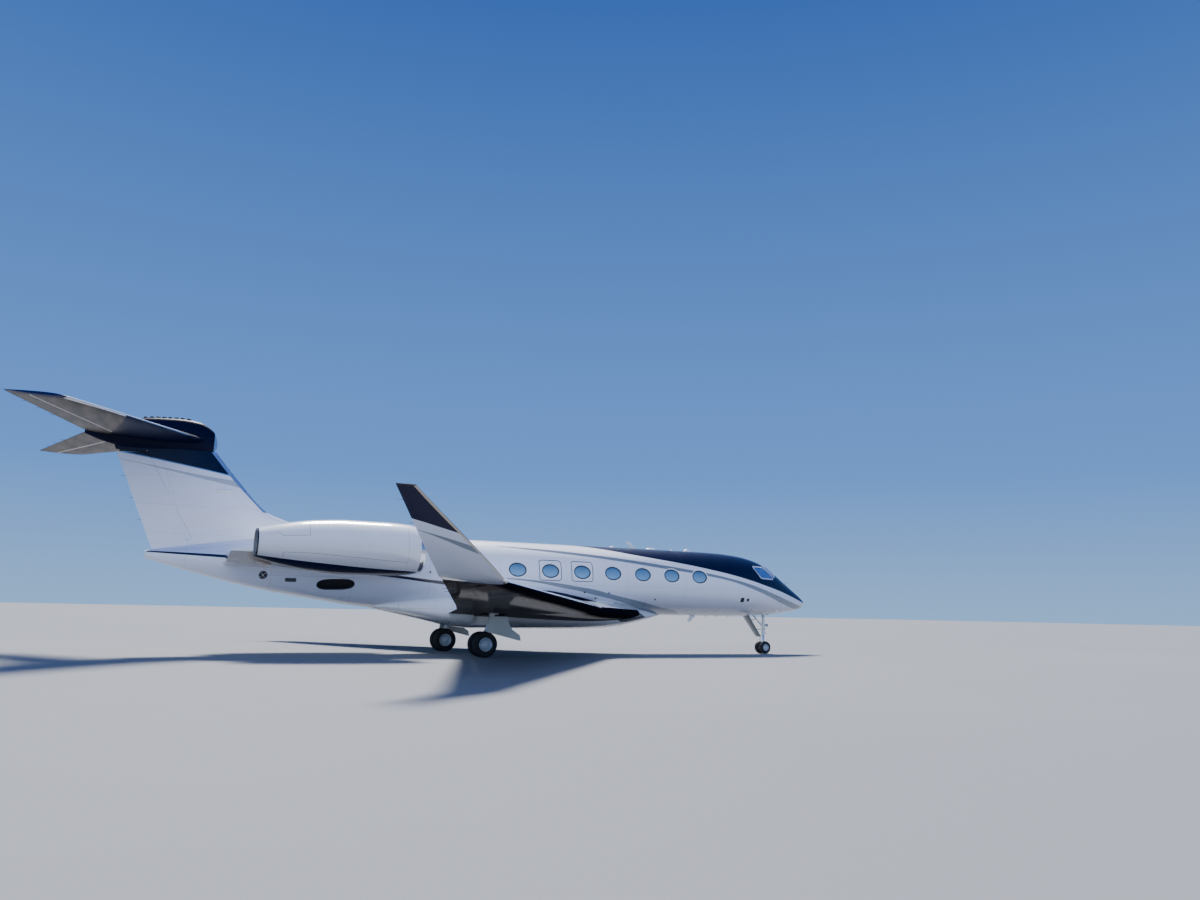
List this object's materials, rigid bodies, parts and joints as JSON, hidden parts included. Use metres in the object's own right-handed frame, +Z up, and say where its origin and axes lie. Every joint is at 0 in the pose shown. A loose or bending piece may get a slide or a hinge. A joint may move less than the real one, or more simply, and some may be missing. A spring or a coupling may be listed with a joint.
{
  "type": "twin-engined business jet",
  "caption": "Long-range business jet with a low swept wing, winglets, a T-tail and engines on the rear fuselage, parked on its gear.",
  "frame": {"origin": "on the ground below the middle of the aircraft's box, half-way between nose tip and tailplane tips", "axes": "+X forward along the fuselage, +Y to port, +Z up"},
  "size_m": [30.42, 30.361, 7.73],
  "materials": {
    "body_paint": "gloss pearl silver-white paint with a clear coat",
    "composite_paint": "gloss pearl silver-white paint on composite",
    "navy_paint": "gloss navy paint",
    "wing_skin": "gloss painted aluminium",
    "bare_metal": "bare heat-toned metal",
    "engine_metal": "dark engine metal",
    "fan_metal": "satin titanium",
    "glass": "clear laminated glass",
    "gear_paint": "light grey enamel",
    "wheel_metal": "blue-grey painted alloy",
    "tyre": "matt black rubber",
    "cabin_trim": "satin veneer",
    "cabin_floor": "carpet",
    "cabin_seats": "cream leather",
    "panel": "matt dark grey plastic"
  },
  "bodies": {
    "airframe": {"radome": "composite_paint", "cockpit_section": "body_paint", "entry_section": "body_paint", "cabin_section": "body_paint", "aft_fuselage": "composite_paint", "tail_cone": "bare_metal", "belly_fairing": "composite_paint", "side_window_left": "glass", "side_window_right": "glass", "windscreen_left": "glass", "windscreen_right": "glass", "cabin_windows_left": "glass", "cabin_windows_right": "glass", "wing_left": "wing_skin", "wing_right": "wing_skin", "winglet_left": "composite_paint", "winglet_right": "composite_paint", "fin": "composite_paint", "tail_bullet": "navy_paint", "tailplane": "composite_paint", "nacelle_left": "composite_paint", "nacelle_right": "composite_paint", "engine_core_left": "engine_metal", "engine_core_right": "engine_metal", "pylon_left": "composite_paint", "pylon_right": "composite_paint", "main_leg_left": "gear_paint", "main_leg_right": "gear_paint", "main_leg_door_left": "composite_paint", "main_leg_door_right": "composite_paint", "nose_leg": "gear_paint", "nose_leg_door": "composite_paint", "cabin_floor": "cabin_floor", "cabin_seats_left": "cabin_seats", "cabin_seats_right": "cabin_seats", "crew_seats": "cabin_seats", "instrument_panel": "panel", "deck_bulkhead": "cabin_trim"},
    "entry_door": {"entry_door": "body_paint"},
    "baggage_door": {"baggage_door": "composite_paint"},
    "flap_left": {"flap_left": "wing_skin"},
    "flap_right": {"flap_right": "wing_skin"},
    "aileron_left": {"aileron_left": "wing_skin"},
    "aileron_right": {"aileron_right": "wing_skin"},
    "rudder": {"rudder": "composite_paint"},
    "elevator_left": {"elevator_left": "composite_paint"},
    "elevator_right": {"elevator_right": "composite_paint"},
    "fan_left": {"fan_left": "fan_metal"},
    "fan_right": {"fan_right": "fan_metal"},
    "main_wheels_left": {"main_left_hubs": "wheel_metal", "main_left_tyre_outer": "tyre", "main_left_tyre_inner": "tyre"},
    "main_wheels_right": {"main_right_hubs": "wheel_metal", "main_right_tyre_outer": "tyre", "main_right_tyre_inner": "tyre"},
    "nose_fork": {"nose_fork": "gear_paint"},
    "nose_wheels": {"nose_hubs": "wheel_metal", "nose_tyre_outer": "tyre", "nose_tyre_inner": "tyre"}
  },
  "joints": [
    {"name": "nose_steering", "type": "hinge", "parent": "airframe", "child": "nose_fork", "pos_m": [13.04, 0, 0.9], "axis": [0, 0, 1], "range_deg": [-80, 80]},
    {"name": "nose_roll", "type": "hinge", "parent": "nose_fork", "child": "nose_wheels", "pos_m": [13, 0, 0.26371], "axis": [0, 1, 0], "continuous": true},
    {"name": "main_roll_left", "type": "hinge", "parent": "airframe", "child": "main_wheels_left", "pos_m": [-0.6, 2.33, 0.43952], "axis": [0, 1, 0], "continuous": true},
    {"name": "main_roll_right", "type": "hinge", "parent": "airframe", "child": "main_wheels_right", "pos_m": [-0.6, -2.33, 0.43952], "axis": [0, 1, 0], "continuous": true},
    {"name": "fan_spin_left", "type": "hinge", "parent": "airframe", "child": "fan_left", "pos_m": [-4.09, 2.5, 3.57], "axis": [1, 0, 0], "continuous": true},
    {"name": "fan_spin_right", "type": "hinge", "parent": "airframe", "child": "fan_right", "pos_m": [-4.09, -2.5, 3.57], "axis": [1, 0, 0], "continuous": true},
    {"name": "entry_door_hinge", "type": "hinge", "parent": "airframe", "child": "entry_door", "pos_m": [10.69, 0.985, 2], "axis": [-1, 0, 0], "range_deg": [0, 135]},
    {"name": "baggage_door_hinge", "type": "hinge", "parent": "airframe", "child": "baggage_door", "pos_m": [-4.6, 0.97, 2.07], "axis": [-1, 0, 0], "range_deg": [0, 90]},
    {"name": "rudder_hinge", "type": "hinge", "parent": "airframe", "child": "rudder", "pos_m": [-10.177, 0, 3.74], "axis": [-0.4895, 0, 0.872], "range_deg": [-22, 22]},
    {"name": "elevator_left_hinge", "type": "hinge", "parent": "airframe", "child": "elevator_left", "pos_m": [-12.567, 0.3, 7.06], "axis": [-0.379, 0.9254, 0], "range_deg": [-13, 24]},
    {"name": "elevator_right_hinge", "type": "hinge", "parent": "airframe", "child": "elevator_right", "pos_m": [-12.567, -0.3, 7.06], "axis": [0.379, 0.9254, 0], "range_deg": [-13, 24]},
    {"name": "aileron_left_hinge", "type": "hinge", "parent": "airframe", "child": "aileron_left", "pos_m": [-3.44, 9.72, 2.0832], "axis": [-0.4065, 0.9126, 0.0439], "range_deg": [-11, 11]},
    {"name": "aileron_right_hinge", "type": "hinge", "parent": "airframe", "child": "aileron_right", "pos_m": [-3.44, -9.72, 2.0832], "axis": [0.4065, 0.9126, -0.0439], "range_deg": [-11, 11]},
    {"name": "flap_left_hinge", "type": "hinge", "parent": "airframe", "child": "flap_left", "pos_m": [-0.99, 2.1, 1.1622], "axis": [0.2944, -0.9536, -0.0632], "range_deg": [0, 39]},
    {"name": "flap_right_hinge", "type": "hinge", "parent": "airframe", "child": "flap_right", "pos_m": [-0.99, -2.1, 1.1622], "axis": [-0.2944, -0.9536, 0.0632], "range_deg": [0, 39]}
  ],
  "couplings": [
    {"joint": "elevator_right_hinge", "follows": "elevator_left_hinge", "ratio": 1},
    {"joint": "aileron_right_hinge", "follows": "aileron_left_hinge", "ratio": -1},
    {"joint": "flap_right_hinge", "follows": "flap_left_hinge", "ratio": 1}
  ]
}
